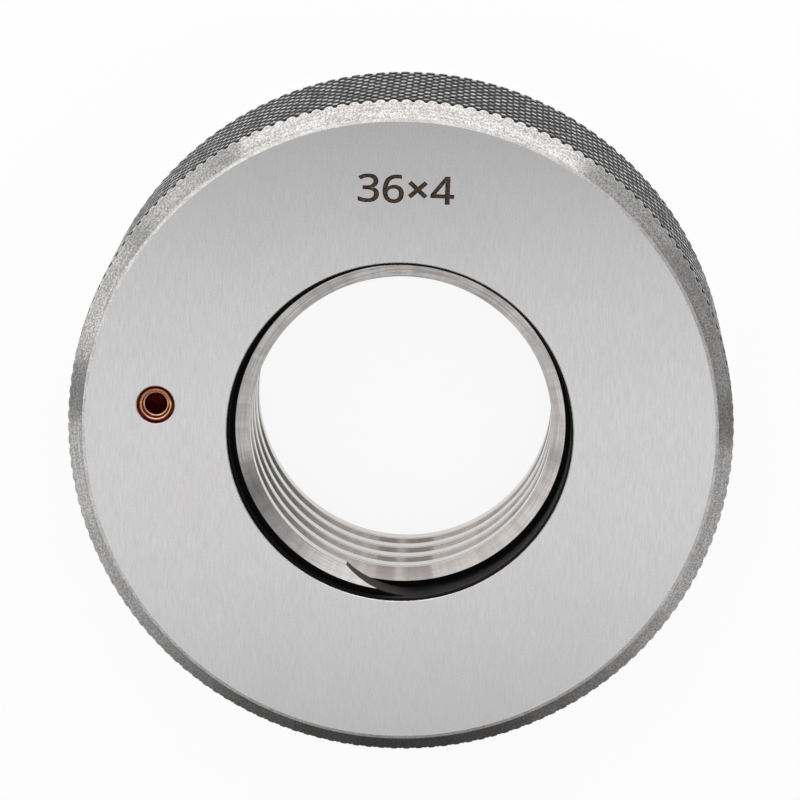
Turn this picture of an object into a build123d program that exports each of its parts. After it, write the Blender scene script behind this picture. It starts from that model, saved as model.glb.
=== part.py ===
"""Thread ring gauge: a hardened steel ring with an internal thread, and a copper eyelet in its marked face.

Frame: the ring lies flat on its back face. The axis of the bore is Z, the marked face is up, and the origin
is at the bottom of the axis. Seen from above, +Y is the twelve o'clock side and -X is the eyelet's side.
Sizes are in millimetres.
"""

import os
from math import cos, radians, sin, tan

from build123d import *

# Blank: the turned and ground ring
ring_diameter = 71.0
ring_thickness = 24.0
rim_chamfer = 1.85
rim_edge_break = 0.2

# Thread: right hand, no-go form, with the crests cut back and a relief groove at the root
thread_pitch = 4.0
thread_angle = 60.0
pitch_diameter = 33.118
crest_height = 0.4
relief_width = 0.8
relief_depth = 0.552
mouth_chamfer = 0.35

# Thread ends: the incomplete first turn is cleared away and the full ridge starts blunt
thread_end_depth = 2.92
front_end_angle = 277.0
end_cutter_diameter = 18.6
end_cutter_overrun = 0.05

# Copper eyelet: a barrel with a stepped lip that ends in two beads
eyelet_angle = 173.5
eyelet_barrel_diameter = 3.0
eyelet_barrel_length = 4.2
eyelet_wall = 0.325
eyelet_lip_overhang = 0.275
outer_bead_width = 0.3
outer_bead_height = 0.8
inner_bead_height = 0.3
bead_corner = 0.09

# Fit of the eyelet in its stepped hole
eyelet_fit_clearance = 0.02
eyelet_lip_clearance = 0.25
eyelet_top_clearance = 0.2
eyelet_bottom_clearance = 0.6

# Thread radii and half widths, worked out from the pitch line
flank_slope = tan(radians(thread_angle / 2))
pitch_radius = pitch_diameter / 2
minor_radius = pitch_radius - crest_height
relief_radius = pitch_radius + (thread_pitch - 2 * relief_width) / 4 / flank_slope
root_radius = relief_radius + relief_depth
ridge_foot_half = (thread_pitch - relief_width) / 2

# The ridge is swept past its land and into the wall, so that the bore trims it and the wall holds it
ridge_spare = 0.3
ridge_tip_radius = minor_radius - ridge_spare
ridge_tip_half = ridge_foot_half - (relief_radius - ridge_tip_radius) * flank_slope
ridge_turns = (ring_thickness - 2 * thread_end_depth) / thread_pitch
back_end_angle = front_end_angle - 360 * ridge_turns

# The round cutter that blunts each end goes down to the middle of the groove behind the ridge
end_cut_depth = thread_end_depth + thread_pitch / 2
end_cutter_offset = root_radius + end_cutter_overrun - end_cutter_diameter / 2

# Ring outline: equal-legged chamfers, and a small bevel that breaks the edge between face and rim chamfer
ring_radius = ring_diameter / 2
face_radius = ring_radius - rim_chamfer
mouth_radius = root_radius + mouth_chamfer
bevel_inner_radius = face_radius - rim_edge_break
bevel_drop = rim_edge_break * cos(radians(45))
bevel_outer_radius = face_radius + bevel_drop

# Eyelet and its hole, halfway between the bore's mouth and the rim
eyelet_circle_radius = (mouth_radius + face_radius) / 2
barrel_radius = eyelet_barrel_diameter / 2
eyelet_bore_radius = barrel_radius - eyelet_wall
lip_radius = barrel_radius + eyelet_lip_overhang
funnel_radius = lip_radius - outer_bead_width
recess_depth = outer_bead_height + eyelet_top_clearance
hole_depth = recess_depth + eyelet_barrel_length + eyelet_bottom_clearance

with BuildPart() as ring_body:
    # Blank with its bore at the thread's root, chamfered at the rim and at both mouths
    with BuildSketch(Plane.XZ):
        with BuildLine():
            Polyline(
                (mouth_radius, 0),
                (bevel_inner_radius, 0),
                (bevel_outer_radius, bevel_drop),
                (ring_radius, rim_chamfer),
                (ring_radius, ring_thickness - rim_chamfer),
                (bevel_outer_radius, ring_thickness - bevel_drop),
                (bevel_inner_radius, ring_thickness),
                (mouth_radius, ring_thickness),
                (root_radius, ring_thickness - mouth_chamfer),
                (root_radius, mouth_chamfer),
                close=True,
            )
        make_face()
    revolve(axis=Axis.Z)

    # Helical ridge of the thread, from its back end up to its front end
    with BuildLine(Plane.XY.offset(thread_end_depth)) as ridge_path:
        Helix(pitch=thread_pitch, height=ridge_turns * thread_pitch, radius=pitch_radius)
    ridge_plane = Plane(
        origin=(0, 0, thread_end_depth),
        x_dir=(cos(radians(back_end_angle)), sin(radians(back_end_angle)), 0),
        z_dir=(sin(radians(back_end_angle)), -cos(radians(back_end_angle)), 0),
    )
    with BuildSketch(ridge_plane):
        with BuildLine():
            Polyline(
                (root_radius + ridge_spare, -ridge_foot_half),
                (relief_radius, -ridge_foot_half),
                (ridge_tip_radius, -ridge_tip_half),
                (ridge_tip_radius, ridge_tip_half),
                (relief_radius, ridge_foot_half),
                (root_radius + ridge_spare, ridge_foot_half),
                close=True,
            )
        make_face()
    sweep(path=ridge_path.line.rotate(Axis.Z, back_end_angle), is_frenet=True)

    # The bore trims the ridge to its flat land
    with BuildSketch(Plane.XY):
        Circle(minor_radius)
    extrude(amount=ring_thickness, mode=Mode.SUBTRACT)

    # Blunt start of the thread at the marked face
    with BuildSketch(Plane.XY.offset(ring_thickness)):
        with PolarLocations(end_cutter_offset, 1, start_angle=front_end_angle):
            Circle(end_cutter_diameter / 2)
    extrude(amount=-end_cut_depth, mode=Mode.SUBTRACT)

    # Blunt start of the thread at the back face
    with BuildSketch(Plane.XY):
        with PolarLocations(end_cutter_offset, 1, start_angle=back_end_angle):
            Circle(end_cutter_diameter / 2)
    extrude(amount=end_cut_depth, mode=Mode.SUBTRACT)

    # Stepped blind hole for the eyelet
    with Locations(Plane.XY.offset(ring_thickness)):
        with PolarLocations(eyelet_circle_radius, 1, start_angle=eyelet_angle):
            CounterBoreHole(
                radius=barrel_radius + eyelet_fit_clearance,
                counter_bore_radius=lip_radius + eyelet_lip_clearance,
                counter_bore_depth=recess_depth,
                depth=hole_depth,
            )

with BuildPart() as copper_eyelet:
    # Half section about the eyelet's own axis, its lip seated on the floor of the recess
    eyelet_seat = Plane(
        origin=(
            eyelet_circle_radius * cos(radians(eyelet_angle)),
            eyelet_circle_radius * sin(radians(eyelet_angle)),
            ring_thickness - recess_depth,
        ),
        x_dir=(1, 0, 0),
        z_dir=(0, -1, 0),
    )
    with BuildSketch(eyelet_seat):
        with BuildLine():
            Polyline(
                (eyelet_bore_radius, -eyelet_barrel_length),
                (barrel_radius, -eyelet_barrel_length),
                (barrel_radius, 0),
                (lip_radius, 0),
                (lip_radius, outer_bead_height - bead_corner),
                (lip_radius - bead_corner, outer_bead_height),
                (funnel_radius + bead_corner, outer_bead_height),
                (funnel_radius, outer_bead_height - bead_corner),
                (funnel_radius, inner_bead_height - bead_corner),
                (funnel_radius - bead_corner, inner_bead_height),
                (eyelet_bore_radius + bead_corner, inner_bead_height),
                (eyelet_bore_radius, inner_bead_height - bead_corner),
                close=True,
            )
        make_face()
    revolve(axis=Axis(eyelet_seat.origin, (0, 0, 1)))

os.makedirs("parts", exist_ok=True)
ring_body.part.label = "ring_body"
export_step(ring_body.part, "parts/ring_body.step")
copper_eyelet.part.label = "copper_eyelet"
export_step(copper_eyelet.part, "parts/copper_eyelet.step")
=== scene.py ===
"""Looks of a thread ring gauge: a knurled steel ring with an internal thread and a copper eyelet.

The ring lies on its back face. Z is the axis of the bore, the marked face is up, +Y is twelve o'clock and
-X is the eyelet's side. Lengths are in metres.
"""

import logging
import math
import random
from collections.abc import Callable, Sequence
from dataclasses import dataclass, field
from enum import Enum

import bmesh
import bpy
from bmesh.types import BMEdge, BMesh, BMFace, BMVert
from bpy.types import ID, Material, Node, NodeSocket, NodeTree, Object
from mathutils import Matrix, Vector


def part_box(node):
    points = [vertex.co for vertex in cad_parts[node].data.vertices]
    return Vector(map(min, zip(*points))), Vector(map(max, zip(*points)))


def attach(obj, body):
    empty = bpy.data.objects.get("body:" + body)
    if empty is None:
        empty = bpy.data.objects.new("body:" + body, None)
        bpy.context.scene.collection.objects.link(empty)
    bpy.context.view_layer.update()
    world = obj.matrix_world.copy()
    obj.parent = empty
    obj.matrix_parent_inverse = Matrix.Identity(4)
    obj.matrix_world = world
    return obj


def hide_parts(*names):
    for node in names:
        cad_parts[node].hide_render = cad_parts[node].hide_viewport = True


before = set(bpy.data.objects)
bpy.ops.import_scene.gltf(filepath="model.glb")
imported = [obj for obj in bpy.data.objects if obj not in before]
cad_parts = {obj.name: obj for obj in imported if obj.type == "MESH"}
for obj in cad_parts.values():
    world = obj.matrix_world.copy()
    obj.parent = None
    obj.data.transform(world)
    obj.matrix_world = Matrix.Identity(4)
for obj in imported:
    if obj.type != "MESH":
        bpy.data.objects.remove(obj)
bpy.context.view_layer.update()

log = logging.getLogger("thread_ring_gauge")

Pair = tuple[float, float]
Pairs = tuple[Pair, ...]
Point = tuple[float, float, float]
Colour = tuple[float, float, float, float]

MM = 0.001
ORIGIN = (0.0, 0.0)
LEVEL = (1.0, 1.0, 0.0)
BODY = "root"
RING_NODE = "ring_body"
EYELET_NODE = "copper_eyelet"
MERGE_DISTANCE = 0.0002 * MM
# How far a point of a faceted round wall may lie off the wall's radius
FACET_SLACK = 0.02 * MM
# The corners of a patch in a grid, as steps along its two directions
PATCH_CORNERS = ((0, 0), (1, 0), (1, 1), (0, 1))
# How much rougher the hollows and how much smoother the ridges of tool marks are than the steel's average
HOLLOW_ROUGHER = 0.08
RIDGE_SMOOTHER = 0.04
# The thread size, 36 by 4, in the plain sans-serif digits that Blender's own typefaces hold at these places
SANS_36_BY_4 = "\U0001d7e5\U0001d7e8\u00d7\U0001d7e6"


class Face(Enum):
    """Which flat face of the ring a feature belongs to."""

    FRONT = 1
    BACK = -1


class Region(Enum):
    """The finishes of the ring, in the order of its material slots."""

    GROUND_FACE = 0
    RIM_CHAMFER = 1
    KNURL = 2
    THREAD = 3
    RELIEF = 4
    END_WALL = 5
    EDGE_BREAK = 6
    EYELET_HOLE = 7


# Meshes


def link_object(name: str, data: ID) -> Object:
    """Makes an object and links it to the scene.

    Args:
        name: the object's name.
        data: its mesh, text or camera.

    Returns:
        The new object.
    """
    obj = bpy.data.objects.new(name, data)
    bpy.context.scene.collection.objects.link(obj)
    return obj


def mesh_object(name: str, bm: BMesh, sharp_angle: float) -> Object:
    """Makes a smooth-shaded object from a bmesh, with its sharper edges kept crisp.

    Args:
        name: the object's name.
        bm: the finished bmesh, which is freed.
        sharp_angle: edges that turn by more than this, in radians, stay crisp.

    Returns:
        The new object, linked to the scene.
    """
    for face in bm.faces:
        face.smooth = True
    for edge in bm.edges:
        edge.smooth = len(edge.link_faces) == 2 and edge.calc_face_angle() < sharp_angle
    mesh = bpy.data.meshes.new(name)
    bm.to_mesh(mesh)
    bm.free()
    return link_object(name, mesh)


def around(radius: float, angle: float, height: float, centre: Pair = ORIGIN) -> Point:
    """The point at a radius and an angle round a vertical axis."""
    return (centre[0] + radius * math.cos(angle), centre[1] + radius * math.sin(angle), height)


def circle(bm: BMesh, radius: float, height: float, segments: int, centre: Pair = ORIGIN) -> list[BMVert]:
    """Adds a level circle of vertices and returns them in order."""
    angles = (math.tau * step / segments for step in range(segments))
    return [bm.verts.new(around(radius, angle, height, centre)) for angle in angles]


def skin(bm: BMesh, columns: Sequence[Sequence[BMVert]], ring: bool, loop: bool) -> None:
    """Spans quads between neighbouring columns of vertices.

    Args:
        bm: the mesh that holds the vertices.
        columns: the columns, in order.
        ring: whether the last column is followed by the first.
        loop: whether the last vertex of each column is followed by its first.
    """
    for step in range(len(columns) if ring else len(columns) - 1):
        here = columns[step]
        after = columns[(step + 1) % len(columns)]
        for index in range(len(here) if loop else len(here) - 1):
            following = (index + 1) % len(here)
            bm.faces.new((here[index], after[index], after[following], here[following]))


def lathe(profile: Sequence[Pair], segments: int, centre: Pair, capped: bool = False) -> BMesh:
    """Turns an outline about a vertical axis.

    Args:
        profile: (radius, height) points of the outline.
        segments: flats round the axis.
        centre: where the axis stands in X and Y.
        capped: whether the outline is open, with a flat cap at either end.

    Returns:
        A closed bmesh.
    """
    bm = bmesh.new()
    columns = []
    for step in range(segments):
        angle = math.tau * step / segments
        columns.append([bm.verts.new(around(radius, angle, height, centre)) for radius, height in profile])
    skin(bm, columns, ring=True, loop=not capped)
    if capped:
        bm.faces.new([column[0] for column in reversed(columns)])
        bm.faces.new([column[-1] for column in columns])
    bmesh.ops.recalc_face_normals(bm, faces=bm.faces)
    return bm


def solid_disc(radius: float, low: float, high: float, segments: int, centre: Pair) -> BMesh:
    """Makes a closed upright cylinder.

    Args:
        radius: its radius.
        low: height of its lower end.
        high: height of its upper end.
        segments: flats round it.
        centre: where its axis stands in X and Y.

    Returns:
        A closed bmesh.
    """
    bm = bmesh.new()
    bottom = circle(bm, radius, low, segments, centre)
    top = circle(bm, radius, high, segments, centre)
    bm.faces.new(reversed(bottom))
    bm.faces.new(top)
    skin(bm, list(zip(bottom, top)), ring=True, loop=False)
    return bm


def grow_edges(bm: BMesh, edges: list[BMEdge], place: Callable[[Vector], Vector]) -> list[BMEdge]:
    """Extends an open surface from some of its edges.

    Args:
        bm: the surface.
        edges: the edges that it grows from.
        place: gives each new vertex its place, from the place of the vertex that it grew from.

    Returns:
        The new outermost edges.
    """
    grown = bmesh.ops.extrude_edge_only(bm, edges=edges)["geom"]
    new_edges = [item for item in grown if isinstance(item, BMEdge)]
    for vert in {vert for edge in new_edges for vert in edge.verts}:
        vert.co = place(vert.co)
    return new_edges


def combine(target: Object, tool: Object, operation: str) -> None:
    """Joins or cuts one closed mesh with another and removes the tool.

    Args:
        target: the object that is changed.
        tool: the object that is added or taken away, which is deleted.
        operation: UNION or DIFFERENCE.
    """
    modifier = target.modifiers.new(operation.lower(), "BOOLEAN")
    modifier.operation = operation
    modifier.solver = "MANIFOLD"
    modifier.object = tool
    graph = bpy.context.evaluated_depsgraph_get()
    result = bpy.data.meshes.new_from_object(target.evaluated_get(graph), depsgraph=graph)
    before = target.data
    target.modifiers.clear()
    target.data = result
    result.name = before.name
    bpy.data.meshes.remove(before)
    tool_mesh = tool.data
    bpy.data.objects.remove(tool)
    bpy.data.meshes.remove(tool_mesh)


# Ring


@dataclass
class Knurl:
    """Diamond knurl of the rim: two crossing families of slanted grooves that leave domed diamonds."""

    teeth: int = 162
    rows: int = 17
    depth: float = 0.24 * MM
    unevenness: float = 0.02 * MM
    seed: int = 7
    lean: float = 0.25
    fade: float = 0.35
    deep_angle: float = math.radians(75.0)
    dome: Pairs = ((0.0, 0.0), (0.2, 0.85), (0.5, 1.0), (0.8, 0.85))

    def unrolled(self, tip_radius: float, low: float, high: float) -> BMesh:
        """Lays the knurled surface out flat, with X round the rim, Y along the axis and Z outward.

        Args:
            tip_radius: radius of the diamonds' tips.
            low: height of the lower row of groove crossings, where the back chamfer meets the tips.
            high: height of the upper row, where the front chamfer meets them.

        Returns:
            An open bmesh whose Z is 0 at the tips, one row longer at either end. Away from the
            deep angle the grooves get shallower, and the rows lean off the line of the chamfers.
        """
        bm = bmesh.new()
        pitch = math.tau * tip_radius / self.teeth
        rise = (high - low) / self.rows
        count = len(self.dome)
        rng = random.Random(self.seed)
        sunk = [[rng.random() for row in range(self.rows + 3)] for tooth in range(self.teeth)]
        verts = {}

        def corner(s_step: int, t_step: int) -> BMVert:
            """Finds the vertex where two groove lines cross, and makes it when it is first asked for.

            Args:
                s_step: its step across the first family of grooves.
                t_step: its step across the second family.

            Returns:
                The vertex.
            """
            key = (s_step, t_step)
            if key not in verts:
                s_cell, a = divmod(s_step, count)
                t_cell, b = divmod(t_step, count)
                s = s_cell + self.dome[a][0]
                t = t_cell + self.dome[b][0]
                share = self.dome[a][1] * self.dome[b][1]
                along = pitch * (s + t) / 2.0
                far = (1.0 - math.cos(along / tip_radius - self.deep_angle)) / 2.0
                drop = self.depth * (1.0 - self.fade * far) * (1.0 - share)
                drop += self.unevenness * share * sunk[s_cell % self.teeth][t_cell - s_cell]
                verts[key] = bm.verts.new((along, low + rise * (t - s - self.lean * far), -drop))
            return verts[key]

        for tooth in range(self.teeth):
            for row in range(-1, self.rows + 2):
                for a in range(count):
                    for b in range(count):
                        s_step = tooth * count + a
                        t_step = (tooth + row) * count + b
                        bm.faces.new([corner(s_step + s, t_step + t) for s, t in PATCH_CORNERS])
        return bm


@dataclass
class Thread:
    """Internal right-hand thread, no-go form, with blunt ends."""

    pitch: float = 4.0 * MM
    pitch_radius: float = 16.559 * MM
    crest_radius: float = 16.159 * MM
    root_radius: float = 18.15 * MM
    relief_width: float = 0.8 * MM
    flank_angle: float = math.radians(30.0)
    crest_rounding: float = 0.025 * MM
    foot_in_wall: float = 0.3 * MM
    end_depth: float = 2.92 * MM
    front_end_angle: float = math.radians(277.0)
    cutter_radius: float = 9.3 * MM
    cutter_overrun: float = 0.05 * MM
    steps_per_turn: int = 288
    cutter_segments: int = 192

    @property
    def foot_half(self) -> float:
        """Half the ridge's width at its foot."""
        return (self.pitch - self.relief_width) / 2.0

    @property
    def relief_radius(self) -> float:
        """Radius at which the flanks end and the straight relief walls begin."""
        flank_drop = (self.pitch - 2.0 * self.relief_width) / 4.0 / math.tan(self.flank_angle)
        return self.pitch_radius + flank_drop

    @property
    def cutter_reach(self) -> float:
        """How deep the end cutters go below their face."""
        return self.end_depth + self.pitch / 2.0

    def turns(self, thickness: float) -> float:
        """Turns of the ridge between its two end points, for a ring of this thickness."""
        return (thickness - 2.0 * self.end_depth) / self.pitch

    def end_angle(self, face: Face, thickness: float) -> float:
        """Finds where round the bore the ridge ends.

        Args:
            face: the face toward which it ends.
            thickness: the ring's thickness.

        Returns:
            The angle from +X, in radians.
        """
        if face is Face.FRONT:
            return self.front_end_angle
        return self.front_end_angle - math.tau * self.turns(thickness)

    def cutter_centre(self, face: Face, thickness: float) -> Pair:
        """Where the axis of the end cutter of a face stands in X and Y."""
        offset = self.root_radius + self.cutter_overrun - self.cutter_radius
        return around(offset, self.end_angle(face, thickness), 0.0)[:2]

    def ridge(self, thickness: float) -> BMesh:
        """Sweeps the ridge along its helix as a closed solid whose foot is inside the wall.

        Args:
            thickness: the ring's thickness.

        Returns:
            A closed bmesh.
        """
        slope = math.tan(self.flank_angle)
        crest_half = self.foot_half - (self.relief_radius - self.crest_radius) * slope
        upper = [
            (self.crest_radius, crest_half - self.crest_rounding),
            (self.crest_radius + self.crest_rounding, crest_half + self.crest_rounding * slope),
            (self.relief_radius, self.foot_half),
            (self.root_radius + self.foot_in_wall, self.foot_half),
        ]
        section = [(radius, -half) for radius, half in reversed(upper)] + upper
        turns = self.turns(thickness)
        steps = math.ceil(turns * self.steps_per_turn)
        start_angle = self.end_angle(Face.BACK, thickness)
        bm = bmesh.new()
        columns = []
        for step in range(steps + 1):
            turn = turns * step / steps
            angle = start_angle + math.tau * turn
            middle = self.end_depth + self.pitch * turn
            columns.append([bm.verts.new(around(radius, angle, middle + half)) for radius, half in section])
        skin(bm, columns, ring=False, loop=True)
        bm.faces.new(columns[0])
        bm.faces.new(reversed(columns[-1]))
        bmesh.ops.recalc_face_normals(bm, faces=bm.faces)
        return bm

    def end_cutter(self, face: Face, thickness: float) -> BMesh:
        """Makes the round cutter that blunts the ridge at one face.

        Args:
            face: the face at which the thread starts blunt.
            thickness: the ring's thickness.

        Returns:
            A closed bmesh that stands out of that face.
        """
        level = thickness if face is Face.FRONT else 0.0
        low, high = level - self.cutter_reach, level + self.cutter_reach
        centre = self.cutter_centre(face, thickness)
        return solid_disc(self.cutter_radius, low, high, self.cutter_segments, centre)


@dataclass
class EyeletHole:
    """Stepped hole in the marked face that carries the copper eyelet."""

    centre: Pair
    recess_radius: float = 2.025 * MM
    recess_depth: float = 1.0 * MM
    hole_radius: float = 1.52 * MM
    hole_depth: float = 5.8 * MM
    edge_break: float = 0.09 * MM
    segments: int = 96

    def cutter(self, thickness: float) -> BMesh:
        """Makes the shape that the hole takes out of the ring.

        Args:
            thickness: the ring's thickness.

        Returns:
            A closed bmesh that stands out of the marked face by one recess depth.
        """
        rim = self.recess_radius + self.edge_break
        profile = [
            (self.hole_radius, thickness - self.hole_depth),
            (self.hole_radius, thickness - self.recess_depth),
            (self.recess_radius, thickness - self.recess_depth),
            (self.recess_radius, thickness - self.edge_break),
            (rim, thickness),
            (rim, thickness + self.recess_depth),
        ]
        return lathe(profile, self.segments, self.centre, capped=True)


@dataclass
class Ring:
    """The one-piece steel ring: ground faces, chamfered and knurled rim, threaded bore and eyelet hole."""

    radius: float
    thickness: float
    hole: EyeletHole
    rim_chamfer: float = 1.85 * MM
    rim_edge_break: float = 0.2 * MM
    scallop_line: float = 0.05 * MM
    mouth_chamfer: float = 0.35 * MM
    mouth_line: float = 0.09 * MM
    bore_segments: int = 288
    sharp_angle: float = math.radians(24.0)
    knurl_sharp_angle: float = math.radians(62.0)
    cone_normal: float = 0.6
    knurl: Knurl = field(default_factory=Knurl)
    thread: Thread = field(default_factory=Thread)

    @property
    def face_radius(self) -> float:
        """Radius at which the planes of the flat faces meet the rim's chamfers."""
        return self.radius - self.rim_chamfer

    @property
    def bevel_drop(self) -> float:
        """Depth of the small bevel between a flat face and the rim's chamfer."""
        return self.rim_edge_break * math.cos(math.radians(45.0))

    def blank(self) -> BMesh:
        """Makes the knurled, chamfered and bored ring without its thread.

        Returns:
            A closed bmesh.
        """
        bm = self.knurl.unrolled(self.radius, self.rim_chamfer, self.thickness - self.rim_chamfer)
        middle = self.thickness / 2.0
        bevel = (
            (self.face_radius + self.bevel_drop, self.bevel_drop),
            (self.face_radius - self.rim_edge_break, 0.0),
        )
        for face in Face:
            cut = bmesh.ops.bisect_plane(
                bm,
                geom=bm.verts[:] + bm.edges[:] + bm.faces[:],
                dist=MERGE_DISTANCE,
                plane_co=Vector((0.0, middle + face.value * (middle - self.rim_chamfer), 0.0)),
                plane_no=Vector((0.0, face.value, 1.0)).normalized(),
                clear_outer=True,
            )
            edges = [item for item in cut["geom_cut"] if isinstance(item, BMEdge) and item.is_valid]
            line = Vector((0.0, face.value * self.scallop_line, -self.scallop_line))
            edges = grow_edges(bm, edges, lambda place: place + line)
            for radius, depth in bevel:
                height = middle + face.value * (middle - depth)
                edges = grow_edges(bm, edges, lambda place: Vector((place.x, height, radius - self.radius)))
        for vert in bm.verts:
            vert.co = around(self.radius + vert.co.z, vert.co.x / self.radius, vert.co.y)
        bmesh.ops.remove_doubles(bm, verts=bm.verts[:], dist=MERGE_DISTANCE)
        self.add_bore(bm)
        bmesh.ops.recalc_face_normals(bm, faces=bm.faces)
        return bm

    def add_bore(self, bm: BMesh) -> None:
        """Closes the blank with its plain bore, both mouth cones and the flat faces.

        Args:
            bm: the rim band, open at both faces.
        """
        mouth = self.thread.root_radius + self.mouth_chamfer
        stations = (
            (mouth, self.thickness),
            (mouth - self.mouth_line, self.thickness - self.mouth_line),
            (self.thread.root_radius, self.thickness - self.mouth_chamfer),
            (self.thread.root_radius, self.mouth_chamfer),
            (mouth - self.mouth_line, self.mouth_line),
            (mouth, 0.0),
        )
        rings = [circle(bm, radius, height, self.bore_segments) for radius, height in stations]
        for upper, lower in zip(rings, rings[1:]):
            skin(bm, list(zip(upper, lower)), ring=True, loop=False)
        for height, sign in ((self.thickness, 1.0), (0.0, -1.0)):
            open_edges = [
                edge
                for edge in bm.edges
                if edge.is_boundary and all(abs(vert.co.z - height) < MERGE_DISTANCE for vert in edge.verts)
            ]
            facing = Vector((0.0, 0.0, sign))
            bmesh.ops.triangle_fill(bm, edges=open_edges, normal=facing, use_beauty=False)

    def region(self, face: BMFace) -> Region:
        """Finds the finish of a face of the finished ring from where it lies.

        Args:
            face: a face of the ring's mesh.

        Returns:
            The region that it belongs to.
        """
        place = face.calc_center_median()
        radius = math.hypot(place.x, place.y)
        depth = min(place.z, self.thickness - place.z)
        from_hole = math.hypot(place.x - self.hole.centre[0], place.y - self.hole.centre[1])
        if depth < MERGE_DISTANCE:
            return Region.GROUND_FACE
        if from_hole < self.hole.recess_radius + self.hole.edge_break:
            return Region.EDGE_BREAK if depth < self.hole.edge_break else Region.EYELET_HOLE
        if radius > self.face_radius - self.rim_edge_break:
            if depth < self.bevel_drop:
                return Region.EDGE_BREAK
            near_cone = abs(radius - depth - self.face_radius) < self.bevel_drop
            on_cone = near_cone and abs(face.normal.z) > self.cone_normal
            return Region.RIM_CHAMFER if on_cone else Region.KNURL
        if depth < self.mouth_chamfer and radius > self.thread.root_radius:
            return Region.EDGE_BREAK if depth < self.mouth_line else Region.RELIEF
        if self.on_end_wall(place):
            return Region.END_WALL
        return Region.RELIEF if radius > self.thread.relief_radius - FACET_SLACK else Region.THREAD

    def on_end_wall(self, place: Vector) -> bool:
        """Tells whether a point lies on the wall that one of the end cutters left.

        Args:
            place: the point.

        Returns:
            True if it does.
        """
        for face in Face:
            depth = self.thickness - place.z if face is Face.FRONT else place.z
            centre = self.thread.cutter_centre(face, self.thickness)
            reach = math.hypot(place.x - centre[0], place.y - centre[1])
            near = abs(reach - self.thread.cutter_radius) < FACET_SLACK
            if near and depth < self.thread.cutter_reach:
                return True
        return False

    def line_scallops(self, bm: BMesh) -> None:
        """Gives the narrow strip of the chamfers along the knurl's scallops the edge-break finish, which is
        partly the edges' own finish and partly a painted highlight line.

        Args:
            bm: the ring, with its regions set.
        """
        knurl, chamfer = Region.KNURL.value, Region.RIM_CHAMFER.value
        strip = set()
        for edge in bm.edges:
            if {face.material_index for face in edge.link_faces} == {knurl, chamfer}:
                strip.update(face for face in edge.link_faces if face.material_index == chamfer)
        for face in strip:
            face.material_index = Region.EDGE_BREAK.value

    def build(self, finishes: dict[Region, Material]) -> Object:
        """Builds the ring's mesh and dresses each region.

        Args:
            finishes: the material of each region.

        Returns:
            The finished ring.
        """
        ring = mesh_object("gauge_ring", self.blank(), self.sharp_angle)
        tools = [("ridge", self.thread.ridge(self.thickness), "UNION")]
        for face in Face:
            tools.append(("end_cutter", self.thread.end_cutter(face, self.thickness), "DIFFERENCE"))
        tools.append(("hole_cutter", self.hole.cutter(self.thickness), "DIFFERENCE"))
        for name, tool, operation in tools:
            combine(ring, mesh_object(name, tool, self.sharp_angle), operation)
        ring.data.materials.clear()
        for region in Region:
            ring.data.materials.append(finishes[region])
        bm = bmesh.new()
        bm.from_mesh(ring.data)
        bmesh.ops.dissolve_degenerate(bm, dist=MERGE_DISTANCE, edges=bm.edges[:])
        for face in bm.faces:
            face.material_index = self.region(face).value
            face.smooth = True
        self.line_scallops(bm)
        for edge in bm.edges:
            kinds = {face.material_index for face in edge.link_faces}
            limit = self.knurl_sharp_angle if kinds == {Region.KNURL.value} else self.sharp_angle
            edge.smooth = len(edge.link_faces) == 2 and len(kinds) == 1 and edge.calc_face_angle() < limit
        open_edges = sum(1 for edge in bm.edges if not edge.is_manifold)
        log.info("gauge ring: %d faces, %d open edges", len(bm.faces), open_edges)
        bm.to_mesh(ring.data)
        bm.free()
        return ring


@dataclass
class Eyelet:
    """Tubular copper eyelet: a barrel and a funnel-shaped lip that ends in two rolled beads."""

    centre: Pair
    top: float
    seat_depth: float = 1.0 * MM
    barrel_radius: float = 1.5 * MM
    bore_radius: float = 1.175 * MM
    lip_radius: float = 1.775 * MM
    outer_bead: float = 0.15 * MM
    inner_bead: float = 0.15 * MM
    outer_bead_depth: float = 0.2 * MM
    inner_bead_depth: float = 0.7 * MM
    barrel_length: float = 4.2 * MM
    bead_steps: int = 8
    segments: int = 96
    sharp_angle: float = math.radians(40.0)

    def profile(self) -> list[Pair]:
        """Draws the half section of the eyelet.

        Returns:
            Its (radius, height) points.
        """
        seat = self.top - self.seat_depth
        points = [
            (self.bore_radius, seat - self.barrel_length),
            (self.barrel_radius, seat - self.barrel_length),
            (self.barrel_radius, seat),
            (self.lip_radius, seat),
        ]
        beads = (
            (self.lip_radius - self.outer_bead, self.top - self.outer_bead_depth, self.outer_bead),
            (self.bore_radius + self.inner_bead, self.top - self.inner_bead_depth, self.inner_bead),
        )
        for middle, crown, size in beads:
            for step in range(self.bead_steps + 1):
                angle = math.pi * step / self.bead_steps
                points.append((middle + size * math.cos(angle), crown - size + size * math.sin(angle)))
        return points

    def build(self, finish: Material) -> Object:
        """Builds and dresses the eyelet.

        Args:
            finish: its copper.

        Returns:
            The finished eyelet.
        """
        obj = mesh_object("eyelet", lathe(self.profile(), self.segments, self.centre), self.sharp_angle)
        obj.data.materials.append(finish)
        return obj


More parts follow.
